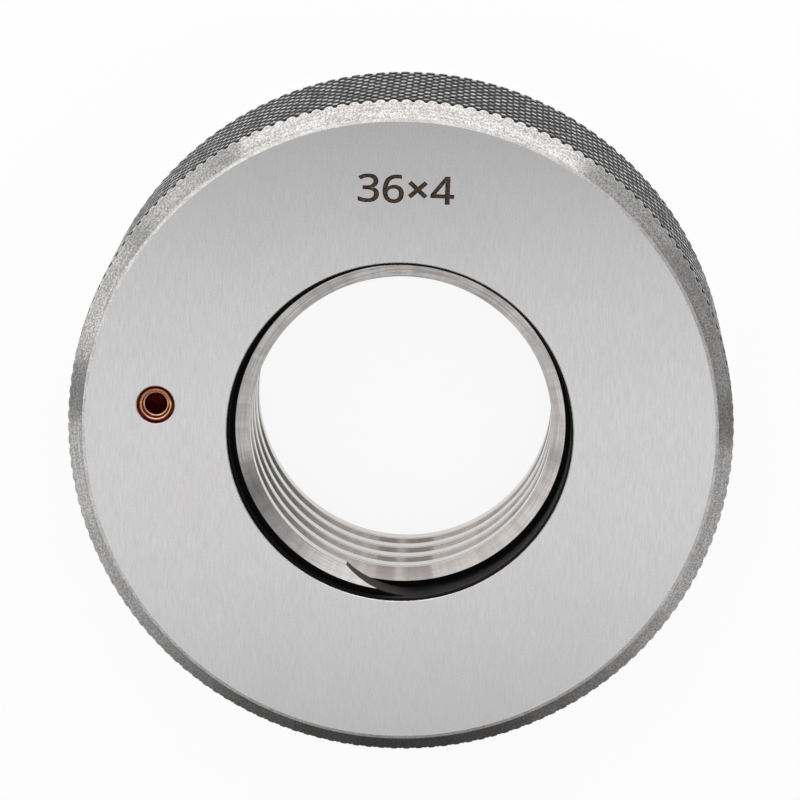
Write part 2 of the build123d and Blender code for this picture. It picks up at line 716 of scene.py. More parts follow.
@dataclass
class Marking:
    """Plain numbers etched in the marked face: a dark outline with a lighter fill."""

    top: float
    text: str = SANS_36_BY_4
    height: float = 3.04 * MM
    centre: Pair = (0.68 * MM, 26.29 * MM)
    proud: float = 0.006 * MM
    outline_growth: float = 0.014
    fill_growth: float = -0.008
    height_share: float = 0.762
    widening: float = 1.12
    turn: float = math.radians(-1.9)

    def letters(self, name: str, growth: float, lift: float, finish: Material) -> Object:
        """Makes one layer of the marking as a thin plate.

        Args:
            name: the layer's name.
            growth: how far its outline grows, as a share of the text size.
            lift: how far it stands proud of the face.
            finish: its material.

        Returns:
            The layer as a mesh object.
        """
        curve = bpy.data.curves.new(name, "FONT")
        curve.body = self.text
        curve.size = self.height / self.height_share
        curve.offset = growth * curve.size
        curve.extrude = lift
        text = link_object(name, curve)
        graph = bpy.context.evaluated_depsgraph_get()
        mesh = bpy.data.meshes.new_from_object(text.evaluated_get(graph), depsgraph=graph)
        bpy.data.objects.remove(text)
        bpy.data.curves.remove(curve)
        across = [vert.co.x for vert in mesh.vertices]
        up = [vert.co.y for vert in mesh.vertices]
        middle = Vector(((min(across) + max(across)) / 2.0, (min(up) + max(up)) / 2.0, 0.0))
        place = Matrix.Translation((*self.centre, self.top)) @ Matrix.Rotation(self.turn, 4, "Z")
        mesh.transform(place @ Matrix.Diagonal((self.widening, 1.0, 1.0, 1.0)) @ Matrix.Translation(-middle))
        plate = link_object(name, mesh)
        mesh.materials.clear()
        mesh.materials.append(finish)
        return plate

    def build(self, dark: Material, light: Material) -> list[Object]:
        """Builds both layers of the marking.

        Args:
            dark: finish of the outline.
            light: finish of the fill.

        Returns:
            The outline and the fill.
        """
        return [
            self.letters("marking_outline", self.outline_growth, self.proud, dark),
            self.letters("marking_fill", self.fill_growth, self.proud * 2.0, light),
        ]


# Materials


class Shader:
    """Short calls for laying out a node tree."""

    def __init__(self, tree: NodeTree) -> None:
        """Starts on an empty tree.

        Args:
            tree: the material's, the world's or the group's node tree.
        """
        self.tree = tree
        self.tree.nodes.clear()

    def add(self, kind: str, **settings: object) -> Node:
        """Adds a node and sets its own properties.

        Args:
            kind: the node's type name.
            settings: properties of the node.

        Returns:
            The node.
        """
        node = self.tree.nodes.new(kind)
        for name, value in settings.items():
            setattr(node, name, value)
        return node

    def feed(self, socket: NodeSocket, value: object) -> None:
        """Links a socket to an output, or sets its value.

        Args:
            socket: the input.
            value: an output socket, a number, a vector or a colour.
        """
        if isinstance(value, NodeSocket):
            self.tree.links.new(value, socket)
        else:
            socket.default_value = value

    def math(self, operation: str, first: object, second: object, clamp: bool = False) -> NodeSocket:
        """Adds a math node.

        Args:
            operation: the node's operation.
            first: first operand.
            second: second operand.
            clamp: whether the result is kept between 0 and 1.

        Returns:
            The result.
        """
        node = self.add("ShaderNodeMath", operation=operation, use_clamp=clamp)
        self.feed(node.inputs[0], first)
        self.feed(node.inputs[1], second)
        return node.outputs[0]

    def vector_math(self, operation: str, first: object, second: object = None) -> NodeSocket:
        """Adds a vector math node.

        Args:
            operation: the node's operation.
            first: first operand.
            second: second operand, for an operation that takes two.

        Returns:
            The result, which is a number for a length or a dot product and a vector otherwise.
        """
        node = self.add("ShaderNodeVectorMath", operation=operation)
        self.feed(node.inputs[0], first)
        if second is not None:
            self.feed(node.inputs[1], second)
        return node.outputs["Value" if operation in ("LENGTH", "DOT_PRODUCT") else "Vector"]

    def spread(
        self, value: object, low: float, high: float, to_low: float = 0.0, to_high: float = 1.0
    ) -> NodeSocket:
        """Maps a range of values smoothly onto another and clamps it.

        Args:
            value: the value.
            low: start of its range.
            high: end of its range.
            to_low: result at the start.
            to_high: result at the end.

        Returns:
            The mapped value.
        """
        node = self.add("ShaderNodeMapRange", interpolation_type="SMOOTHSTEP")
        for socket, number in zip(node.inputs[1:5], (low, high, to_low, to_high)):
            socket.default_value = number
        self.feed(node.inputs[0], value)
        return node.outputs[0]

    def ramp(self, value: object, stops: Pairs) -> NodeSocket:
        """Maps a value through grey stops.

        Args:
            value: the value, from 0 to 1.
            stops: (place, level) pairs, with places from -1 to 1.

        Returns:
            The grey as a colour.
        """
        node = self.add("ShaderNodeValToRGB")
        node.color_ramp.interpolation = "EASE"
        elements = node.color_ramp.elements
        while len(elements) < len(stops):
            elements.new(0.5)
        for element, (place, level) in zip(elements, stops):
            element.position = place / 2.0 + 0.5
            element.color = (level, level, level, 1.0)
        self.feed(node.inputs[0], value)
        return node.outputs[0]

    def mix(self, factor: object, first: object, second: object, blend: str = "MIX") -> NodeSocket:
        """Mixes two colours.

        Args:
            factor: 0 gives the first and 1 the second.
            first: a colour.
            second: a colour.
            blend: how they are mixed.

        Returns:
            The mixed colour.
        """
        node = self.add("ShaderNodeMix", data_type="RGBA", blend_type=blend)
        self.feed(node.inputs["Factor"], factor)
        colours = [socket for socket in node.inputs if socket.type == "RGBA"]
        self.feed(colours[0], first)
        self.feed(colours[1], second)
        return next(socket for socket in node.outputs if socket.type == "RGBA")

    def dim(self, colour: NodeSocket, level: NodeSocket) -> NodeSocket:
        """Multiplies a colour by a grey level."""
        return self.mix(1.0, colour, level, "MULTIPLY")

    def noise(
        self, vector: object, scale: object, detail: float = 3.0, roughness: float = 0.55
    ) -> NodeSocket:
        """Adds a noise texture.

        Args:
            vector: where it is read.
            scale: features per metre.
            detail: octaves.
            roughness: weight of the finer octaves.

        Returns:
            The noise value, about 0.5 on average.
        """
        node = self.add("ShaderNodeTexNoise")
        inputs = {"Vector": vector, "Scale": scale, "Detail": detail, "Roughness": roughness}
        for name, value in inputs.items():
            self.feed(node.inputs[name], value)
        return node.outputs["Fac"]

    def stretched(self, vector: object, scale: Point) -> NodeSocket:
        """Scales a vector by a factor along each axis."""
        return self.vector_math("MULTIPLY", vector, scale)

    def from_axis(self, vector: object) -> NodeSocket:
        """The length of a vector in X and Y, which is a point's distance from the vertical axis."""
        return self.vector_math("LENGTH", self.stretched(vector, LEVEL))

    def split(self, vector: NodeSocket) -> tuple[NodeSocket, ...]:
        """Takes a vector apart.

        Args:
            vector: the vector.

        Returns:
            Its X, Y and Z.
        """
        node = self.add("ShaderNodeSeparateXYZ")
        self.feed(node.inputs[0], vector)
        return tuple(node.outputs)

    def place(self) -> NodeSocket:
        """The point's place on the object, in metres."""
        return self.add("ShaderNodeTexCoord").outputs["Object"]

    def use(self, group: NodeTree, **inputs: object) -> Node:
        """Places a node group and feeds its inputs.

        Args:
            group: the group.
            inputs: its inputs by name.

        Returns:
            The group node.
        """
        node = self.add("ShaderNodeGroup", node_tree=group)
        for name, value in inputs.items():
            self.feed(node.inputs[name], value)
        return node

    def bump(self, height: object, strength: float, distance: float) -> NodeSocket:
        """Adds a bump node.

        Args:
            height: the height, from 0 to 1.
            strength: its strength.
            distance: what a height of 1 stands for, in metres.

        Returns:
            The bumped normal.
        """
        node = self.add("ShaderNodeBump")
        node.inputs["Strength"].default_value = strength
        node.inputs["Distance"].default_value = distance
        self.feed(node.inputs["Height"], height)
        return node.outputs[0]

    def tool_roughness(self, lines: NodeSocket, roughness: float) -> NodeSocket:
        """Roughness of tool-marked steel, from its lines and its average roughness."""
        return self.spread(lines, 0.0, 1.0, roughness + HOLLOW_ROUGHER, roughness - RIDGE_SMOOTHER)

    def glow(self, level: float) -> NodeSocket:
        """Adds a plain white light.

        Args:
            level: its strength.

        Returns:
            The emission.
        """
        node = self.add("ShaderNodeEmission")
        node.inputs["Strength"].default_value = level
        return node.outputs[0]

    def end(self, surface: NodeSocket, kind: str = "ShaderNodeOutputMaterial") -> None:
        """Ends the tree in an output node that shows a surface."""
        self.feed(self.add(kind).inputs["Surface"], surface)

    def surface(
        self, roughness: object, metallic: object, colour: object, normal: NodeSocket, specular: float = 0.5
    ) -> Node:
        """Ends a material in a Principled surface.

        Args:
            roughness: its roughness.
            metallic: 1 for metal and 0 for other matter.
            colour: its base colour.
            normal: its bumped normal.
            specular: how strongly what isn't metal reflects.

        Returns:
            The Principled node.
        """
        principled = self.add("ShaderNodeBsdfPrincipled")
        principled.inputs["Specular IOR Level"].default_value = specular
        self.feed(principled.inputs["Base Color"], colour)
        self.feed(principled.inputs["Roughness"], roughness)
        self.feed(principled.inputs["Metallic"], metallic)
        self.feed(principled.inputs["Normal"], normal)
        self.end(principled.outputs[0])
        return principled


def start_material(name: str) -> tuple[Material, Shader]:
    """Starts a material on an empty node tree.

    Args:
        name: the material's name.

    Returns:
        The material, and the calls that lay out its nodes.
    """
    material = bpy.data.materials.new(name)
    material.use_nodes = True
    return material, Shader(material.node_tree)


def new_group(name: str, inputs: dict[str, str], outputs: Sequence[str]) -> tuple[Shader, Node, Node]:
    """Starts a shader node group with named sockets.

    Args:
        name: the group's name.
        inputs: kinds of its inputs by name, such as Vector or Float.
        outputs: names of its outputs, which are all numbers.

    Returns:
        The calls that lay out its nodes, its input node and its output node.
    """
    tree = bpy.data.node_groups.new(name, "ShaderNodeTree")
    for socket, kind in inputs.items():
        tree.interface.new_socket(name=socket, in_out="INPUT", socket_type=f"NodeSocket{kind}")
    for socket in outputs:
        tree.interface.new_socket(name=socket, in_out="OUTPUT", socket_type="NodeSocketFloat")
    shader = Shader(tree)
    return shader, shader.add("NodeGroupInput"), shader.add("NodeGroupOutput")


@dataclass(frozen=True)
class SharedEffects:
    """The node groups that more than one material uses."""

    turning_lines: NodeTree
    stains: NodeTree


def turning_lines_group() -> NodeTree:
    """Fine lines that run round the axis, as a lathe or a lap leaves them.

    Returns:
        A group with Place, Fineness and Length inputs and Lines and Radius outputs.
    """
    inputs = {"Place": "Vector", "Fineness": "Float", "Length": "Float"}
    shader, given, out = new_group("turning_lines", inputs, ("Lines", "Radius"))
    place, fineness = given.outputs["Place"], given.outputs["Fineness"]
    x, y, z = shader.split(place)
    radius = shader.from_axis(place)
    along = shader.math("DIVIDE", 1.0, given.outputs["Length"])
    join = shader.add("ShaderNodeCombineXYZ")
    for socket, (size, factor) in zip(join.inputs, ((x, along), (y, along), (radius, fineness))):
        shader.feed(socket, shader.math("MULTIPLY", size, factor))
    noise = shader.add("ShaderNodeTexNoise", noise_dimensions="4D")
    shader.feed(noise.inputs["Vector"], join.outputs[0])
    shader.feed(noise.inputs["W"], shader.math("MULTIPLY", z, fineness))
    noise.inputs["Scale"].default_value = 1.0
    noise.inputs["Detail"].default_value = 3.0
    shader.feed(out.inputs["Lines"], shader.spread(noise.outputs["Fac"], 0.3, 0.7))
    shader.feed(out.inputs["Radius"], radius)
    return shader.tree


def stains_group() -> NodeTree:
    """Soft-edged patches, as handling and oil leave them.

    Returns:
        A group with Place, Scale and Amount inputs and a Mask output.
    """
    inputs = {"Place": "Vector", "Scale": "Float", "Amount": "Float"}
    shader, given, out = new_group("stains", inputs, ("Mask",))
    value = shader.noise(given.outputs["Place"], given.outputs["Scale"], 4.0, 0.6)
    mask = shader.math("MULTIPLY", shader.spread(value, 0.42, 0.66), given.outputs["Amount"], clamp=True)
    shader.feed(out.inputs["Mask"], mask)
    return shader.tree


@dataclass(frozen=True)
class GroundFaceSteel:
    """Flat-ground steel with short fine lines along Y, which spread its reflections sideways."""

    colour: Colour = (0.620, 0.610, 0.615, 1.0)
    line_colour: Colour = (0.608, 0.598, 0.603, 1.0)
    stain_colour: Colour = (0.57, 0.555, 0.55, 1.0)
    roughness: float = 0.27
    line_rougher: float = 0.02
    ground_smoother: float = 0.015
    spread_sideways: float = 0.85
    across: float = 8200.0
    along: float = 620.0
    fine_share: float = 0.86
    broad_share: float = 0.14
    bump_depth: float = 0.002 * MM

    def material(self, effects: SharedEffects) -> Material:
        """Builds the material.

        Args:
            effects: the shared node groups.

        Returns:
            The finished material.
        """
        material, shader = start_material("ground_face_steel")
        place = shader.place()
        fine_scale = (self.across, self.along, self.across)
        broad_scale = (self.across / 5.0, self.along / 2.0, self.across)
        fine = shader.noise(shader.stretched(place, fine_scale), 1.0, 2.0)
        broad = shader.noise(shader.stretched(place, broad_scale), 1.0, 3.0)
        fine_part = shader.math("MULTIPLY", fine, self.fine_share)
        lines = shader.math("ADD", fine_part, shader.math("MULTIPLY", broad, self.broad_share))
        clear = shader.spread(lines, 0.34, 0.62)
        stain = shader.use(effects.stains, Place=place, Scale=90.0, Amount=0.25).outputs["Mask"]
        colour = shader.mix(stain, shader.mix(clear, self.line_colour, self.colour), self.stain_colour)
        roughest = self.roughness + self.line_rougher
        rough = shader.spread(lines, 0.3, 0.7, roughest, self.roughness - self.ground_smoother)
        principled = shader.surface(rough, 1.0, colour, shader.bump(clear, 0.05, self.bump_depth))
        principled.inputs["Anisotropic"].default_value = self.spread_sideways
        grain = shader.add("ShaderNodeCombineXYZ")
        grain.inputs[0].default_value = 1.0
        shader.feed(principled.inputs["Tangent"], grain.outputs[0])
        return material


@dataclass(frozen=True)
class TurnedSteel:
    """Turned or lapped steel with lines round the axis, speckle and stains."""

    name: str
    colour: Colour
    line_colour: Colour
    stain_colour: Colour
    roughness: float
    fineness: float
    length: float
    stain_scale: float
    stain_amount: float
    speckle: float = 0.0
    speckle_scale: float = 4200.0
    metallic: float = 1.0
    specular: float = 0.5
    bump_depth: float = 0.004 * MM

    def material(self, effects: SharedEffects) -> Material:
        """Builds the material.

        Args:
            effects: the shared node groups.

        Returns:
            The finished material.
        """
        material, shader = start_material(self.name)
        place = shader.place()
        turned = shader.use(effects.turning_lines, Place=place, Fineness=self.fineness, Length=self.length)
        lines = turned.outputs["Lines"]
        stains = shader.use(effects.stains, Place=place, Scale=self.stain_scale, Amount=self.stain_amount)
        lined = shader.mix(lines, self.line_colour, self.colour)
        colour = shader.mix(stains.outputs["Mask"], lined, self.stain_colour)
        grain = shader.noise(place, self.speckle_scale, 2.0)
        colour = shader.dim(colour, shader.spread(grain, 0.3, 0.7, 1.0 - self.speckle))
        rough = shader.tool_roughness(lines, self.roughness)
        shader.surface(rough, self.metallic, colour, shader.bump(lines, 0.3, self.bump_depth), self.specular)
        return material


@dataclass(frozen=True)
class LappedThread:
    """Surfaces of the thread: crests of their own colour, and flanks painted darker and browner with depth
    into the bore as painted shade, where they hold darker patches.
    """

    crest_radius: float
    top: float
    crest_colour: Colour = (0.60, 0.59, 0.58, 1.0)
    flank_colour: Colour = (0.67, 0.645, 0.63, 1.0)
    # Painted shade: the flanks go to this colour deeper in the bore.
    deep_shade_colour: Colour = (0.40, 0.36, 0.335, 1.0)
    patch_colour: Colour = (0.21, 0.175, 0.16, 1.0)
    roughness: float = 0.20
    shade_from: float = 3.5 * MM
    shade_full: float = 7.5 * MM
    crest_bright: float = 0.06 * MM
    crest_fade: float = 0.08 * MM
    bump_depth: float = 0.004 * MM
    patches: Pairs = (
        (math.radians(263.8), math.radians(3.6)),
        (math.radians(276.0), math.radians(5.0)),
    )

    def material(self, effects: SharedEffects) -> Material:
        """Builds the material.

        Args:
            effects: the shared node groups.

        Returns:
            The finished material.
        """
        material, shader = start_material("lapped_thread_painted_shade")
        place = shader.place()
        turned = shader.use(effects.turning_lines, Place=place, Fineness=5200.0, Length=9.0 * MM)
        lines = turned.outputs["Lines"]
        z = shader.split(place)[2]
        # Painted shade: darker deeper in the bore, and the two darker patches only show there.
        deep = shader.spread(z, self.top - self.shade_full, self.top - self.shade_from, 1.0, 0.0)
        outward = shader.vector_math("NORMALIZE", shader.stretched(place, LEVEL))
        mottle = shader.noise(outward, 14.0, 3.0)
        flank = shader.mix(deep, self.flank_colour, self.deep_shade_colour)
        flank = shader.dim(flank, shader.spread(mottle, 0.35, 0.65, 0.86, 1.04))
        for angle, half in self.patches:
            toward = shader.vector_math("DOT_PRODUCT", outward, around(1.0, angle, 0.0))
            near = shader.spread(toward, math.cos(1.3 * half), math.cos(0.6 * half), 0.0, 0.8)
            flank = shader.mix(shader.math("MULTIPLY", near, deep), flank, self.patch_colour)
        brushed = shader.dim(flank, shader.spread(lines, 0.0, 1.0, 0.90, 1.06))
        edge = self.crest_radius + self.crest_bright
        crest = shader.spread(turned.outputs["Radius"], edge, edge + self.crest_fade, 1.0, 0.0)
        colour = shader.mix(crest, brushed, self.crest_colour)
        rough = shader.tool_roughness(lines, self.roughness)
        shader.surface(rough, 1.0, colour, shader.bump(lines, 0.16, self.bump_depth))
        return material


@dataclass(frozen=True)
class ShadedReliefWall:
    """Painted shade on the floor of the thread's relief groove: very dark, and greyer where the thread's
    start is cleared away.
    """

    top: float
    # Painted shade: these dark colours stand in for the shade on the steel of the groove and of the end
    # walls.
    shadow_black: Colour = (0.003, 0.003, 0.003, 1.0)
    grey: Colour = (0.021, 0.020, 0.019, 1.0)
    line_grey: Colour = (0.010, 0.0095, 0.009, 1.0)
    crescent_grey: Colour = (0.052, 0.049, 0.047, 1.0)
    cleared_depth: float = 3.4 * MM
    cleared_fade: float = 0.5 * MM
    cleared_across: Pair = (-4.0 * MM, 3.0 * MM)
    painted_shade_across: Pair = (2.0 * MM, 13.0 * MM)
    lighter_crescent_across: Pair = (-2.5 * MM, 2.5 * MM)
    roughness: float = 0.5
    specular: float = 0.08
    bump_depth: float = 0.004 * MM

    def material(self, effects: SharedEffects, on_end: bool = False) -> Material:
        """Builds the material.

        Args:
            effects: the shared node groups.
            on_end: whether it is for the walls that the end cutters left, which are painted with less shade
                towards -X, at their crescent.

        Returns:
            The finished material.
        """
        material, shader = start_material("end_wall_painted_shade" if on_end else "relief_wall_painted_shade")
        place = shader.place()
        turned = shader.use(effects.turning_lines, Place=place, Fineness=3600.0, Length=14.0 * MM)
        lines = turned.outputs["Lines"]
        x, _, z = shader.split(place)
        # Painted shade: the wall is dimmed towards -X.
        wall = shader.mix(lines, self.line_grey, self.grey)
        wall = shader.dim(wall, shader.spread(x, *self.painted_shade_across, 0.5, 1.0))
        if on_end:
            lighter_crescent = shader.spread(x, *self.lighter_crescent_across, 1.0, 0.0)
            colour = shader.mix(lighter_crescent, wall, self.crescent_grey)
        else:
            # Painted shade: darkest deep in the groove and towards -X, greyer where it is shallow on the +X
            # side.
            floor = self.top - self.cleared_depth
            shallow = shader.spread(z, floor - self.cleared_fade, floor + self.cleared_fade)
            cleared = shader.spread(x, *self.cleared_across)
            colour = shader.mix(shader.math("MULTIPLY", shallow, cleared), self.shadow_black, wall)
        shader.surface(self.roughness, 0.0, colour, shader.bump(lines, 0.2, self.bump_depth), self.specular)
        return material


@dataclass(frozen=True)
class KnurlSteel:
    """Blackened knurl with painted shade in its grooves and dome tops painted pale, partly as wear and
    partly as painted highlight.
    """

    tip_radius: float
    depth: float
    # Painted shade: the groove colour darkens the groove bottoms; the tip colour is partly wear and partly
    # painted highlight.
    groove_shade_colour: Colour = (0.004, 0.004, 0.0045, 1.0)
    side_colour: Colour = (0.070, 0.070, 0.073, 1.0)
    tip_wear_and_highlight_colour: Colour = (0.74, 0.73, 0.72, 1.0)
    roughness: float = 0.42
    dull_rougher: float = 0.12
    tip_smoother: float = 0.08
    specular: float = 0.12
    bump_depth: float = 0.006 * MM

    def material(self, effects: SharedEffects) -> Material:
        """Builds the material.

        Args:
            effects: the shared node groups.

        Returns:
            The finished material.
        """
        material, shader = start_material("knurled_steel_shade_and_highlight")
        place = shader.place()
        turned = shader.use(effects.turning_lines, Place=place, Fineness=3000.0, Length=2.0 * MM)
        radius = turned.outputs["Radius"]
        tips = self.tip_radius
        # The wall mask paints shade into the grooves, and the tip mask paints the dome tops pale, partly as
        # wear and partly as painted highlight.
        wall = shader.spread(radius, tips - self.depth + 0.35 * self.depth, tips - 0.25 * self.depth)
        tip = shader.spread(radius, tips - 0.26 * self.depth, tips - 0.12 * self.depth)
        tip_breakup = shader.spread(shader.noise(place, 1500.0, 3.0, 0.6), 0.34, 0.60, 0.3)
        tip_wear_and_highlight = shader.math("MULTIPLY", tip, tip_breakup, clamp=True)
        colour = shader.mix(tip_wear_and_highlight, shader.mix(wall, self.groove_shade_colour, self.side_colour), self.tip_wear_and_highlight_colour)
        roughest = self.roughness + self.dull_rougher
        rough = shader.spread(tip_wear_and_highlight, 0.0, 1.0, roughest, self.roughness - self.tip_smoother)
        normal = shader.bump(turned.outputs["Lines"], 0.2, self.bump_depth)
        shader.surface(rough, tip_wear_and_highlight, colour, normal, self.specular)
        return material


@dataclass(frozen=True)
class Copper:
    """Browned copper with a painted highlight in a thin pale line along each bead, and red with tarnish in
    its hollows.
    """

    centre: Pair
    crown_height: float
    colour: Colour = (0.62, 0.27, 0.105, 1.0)
    painted_highlight: Colour = (0.98, 0.80, 0.62, 1.0)
    tarnish: Colour = (0.42, 0.07, 0.035, 1.0)
    roughness: float = 0.17
    tarnish_rougher: float = 0.25
    tarnish_from: float = 0.5 * MM
    tarnish_full: float = 1.6 * MM
    highlight_radii: Pair = (1.25 * MM, 1.545 * MM)
    highlight_half: float = 0.055 * MM
    bump_depth: float = 0.02 * MM

    def material(self, effects: SharedEffects) -> Material:
        """Builds the material.

        Args:
            effects: the shared node groups.

        Returns:
            The finished material.
        """
        material, shader = start_material("eyelet_copper")
        place = shader.place()
        z = shader.split(place)[2]
        full, start = self.crown_height - self.tarnish_full, self.crown_height - self.tarnish_from
        deep = shader.spread(z, full, start, 1.0, 0.0)
        stain = shader.use(effects.stains, Place=place, Scale=1400.0, Amount=0.8).outputs["Mask"]
        dull = shader.math("MAXIMUM", deep, stain)
        colour = shader.mix(dull, self.colour, self.tarnish)
        rough = shader.spread(dull, 0.0, 1.0, self.roughness, self.roughness + self.tarnish_rougher)
        radius_here = shader.from_axis(shader.vector_math("SUBTRACT", place, (*self.centre, 0.0)))
        # Painted highlights: a thin pale ring on each bead, faded out where the tarnish is deep.
        for radius in self.highlight_radii:
            away = shader.math("ABSOLUTE", shader.math("SUBTRACT", radius_here, radius), 0.0)
            line = shader.spread(away, 0.35 * self.highlight_half, self.highlight_half, 0.9, 0.0)
            shown = shader.math("MULTIPLY", line, shader.math("SUBTRACT", 1.0, deep))
            colour = shader.mix(shown, colour, self.painted_highlight)
        shader.surface(rough, 1.0, colour, shader.bump(shader.noise(place, 2500.0), 0.2, self.bump_depth))
        return material


@dataclass(frozen=True)
class EtchedMark:
    """Annealed brown of a laser-etched mark, hatched with fine lines."""

    name: str
    colour: Colour
    hatch_colour: Colour
    hatch_scale: Point = (2200.0, 6500.0, 1.0)
    roughness: float = 0.6
    specular: float = 0.12
    bump_depth: float = 0.004 * MM

    def material(self) -> Material:
        """Builds the material.

        Returns:
            The finished material.
        """
        material, shader = start_material(self.name)
        hatch = shader.noise(shader.stretched(shader.place(), self.hatch_scale), 1.0, 2.0)
        colour = shader.mix(shader.spread(hatch, 0.4, 0.62), self.colour, self.hatch_colour)
        shader.surface(self.roughness, 0.0, colour, shader.bump(hatch, 0.3, self.bump_depth), self.specular)
        return material


# Studio


@dataclass(frozen=True)
class Sky:
    """Soft surround of two bands of light, each given as (place along Y, level) stops."""

    horizon: Pairs = ((-0.95, 0.05), (-0.45, 0.3), (0.25, 0.5), (0.60, 1.0), (0.95, 1.55))
    overhead: Pairs = (
        (-0.90, 0.10),
        (-0.60, 0.40),
        (-0.33, 0.38),
        (-0.268, 1.25),
        (-0.193, 1.38),
        (-0.149, 0.30),
        (0.15, 0.30),
        (0.40, 0.66),
        (0.90, 0.74),
    )
    overhead_from: float = 0.30
    overhead_full: float = 0.76

    def build(self) -> None:
        """Builds the world and gives it to the scene."""
        world = bpy.data.worlds.new("soft_surround")
        bpy.context.scene.world = world
        world.use_nodes = True
        shader = Shader(world.node_tree)
        _, y, z = shader.split(shader.add("ShaderNodeTexCoord").outputs["Generated"])
        along = shader.math("ADD", shader.math("MULTIPLY", y, 0.5), 0.5)
        low = shader.ramp(along, self.horizon)
        high = shader.ramp(along, self.overhead)
        rise = shader.spread(z, self.overhead_from, self.overhead_full)
        background = shader.add("ShaderNodeBackground")
        shader.feed(background.inputs["Color"], shader.mix(rise, low, high))
        shader.end(background.outputs[0], "ShaderNodeOutputWorld")


@dataclass(frozen=True)
class Card:
    """Curved card, glowing or dark, that shows only in the steel's reflections. Angles are in degrees."""

    first: float
    last: float
    level: float
    radius: float
    low: float
    high: float
    step: float = 4.0

    def build(self, name: str) -> None:
        """Builds the card, standing round the axis from its first to its last angle from +X.

        Args:
            name: its name.
        """
        steps = math.ceil((self.last - self.first) / self.step)
        points = []
        for step in range(steps + 1):
            angle = math.radians(self.first + (self.last - self.first) * step / steps)
            points += [around(self.radius, angle, height) for height in (self.low, self.high)]
        panels = [(2 * step, 2 * step + 2, 2 * step + 3, 2 * step + 1) for step in range(steps)]
        mesh = bpy.data.meshes.new(name)
        mesh.from_pydata(points, [], panels)
        card = link_object(name, mesh)
        material, shader = start_material(name)
        shader.end(shader.glow(self.level))
        mesh.materials.append(material)
        card.visible_camera = False
        card.visible_diffuse = False
        card.visible_shadow = False
        card.visible_transmission = False


@dataclass(frozen=True)
class CardWall:
    """Row of cards round the ring, of which each starts where the one before it ends."""

    start: float
    radius: float
    height: float
    steps: Pairs

    def cards(self) -> list[Card]:
        """Lists the wall's cards, one for each (last angle, level) step.

        Returns:
            The cards in order.
        """
        cards = []
        first = self.start
        for last, level in self.steps:
            cards.append(Card(first, last, level, self.radius, 0.0, self.height))
            first = last
        return cards


TENT = CardWall(
    start=-10.0,
    radius=85.0 * MM,
    height=42.0 * MM,
    steps=(
        *((-1.0, 0.31), (30.0, 0.47), (52.4, 0.66), (90.0, 1.60), (123.6, 1.55), (130.0, 0.75)),
        *((135.0, 0.92), (147.0, 1.08), (152.0, 0.66), (175.0, 1.08), (186.0, 0.42), (203.0, 0.88)),
        *((214.0, 0.72), (222.0, 0.62), (228.0, 0.50), (233.0, 0.38), (238.0, 0.27), (243.0, 0.18)),
        *((250.0, 0.09), (283.0, 0.03), (290.0, 0.09), (297.0, 0.17), (304.0, 0.25), (310.0, 0.37)),
        *((318.0, 0.53), (350.0, 0.68)),
    ),
)
SKIRT = CardWall(
    start=243.0,
    radius=62.0 * MM,
    height=32.0 * MM,
    steps=((252.0, 0.15), (262.0, 0.10), (278.0, 0.075), (287.0, 0.10)),
)
# First and last angle, level, and then radius, lower and upper height in millimetres
FAR_CARDS = (
    (188.0, 214.0, 0.95, 1000.0, 190.0, 650.0),
    (214.0, 240.0, 0.86, 1000.0, 190.0, 575.0),
    (240.0, 300.0, 0.74, 1000.0, 190.0, 500.0),
    (300.0, 322.0, 0.73, 1000.0, 190.0, 600.0),
    (322.0, 340.0, 0.80, 1000.0, 190.0, 640.0),
    (48.0, 165.0, 1.70, 200.0, 250.0, 370.0),
    (112.0, 186.0, 1.05, 300.0, 200.0, 330.0),
    (340.0, 361.0, 0.72, 300.0, 180.0, 330.0),
    (1.0, 18.0, 0.19, 300.0, 180.0, 330.0),
    (18.0, 30.0, 0.27, 300.0, 180.0, 340.0),
    (30.0, 50.0, 0.36, 300.0, 180.0, 345.0),
)


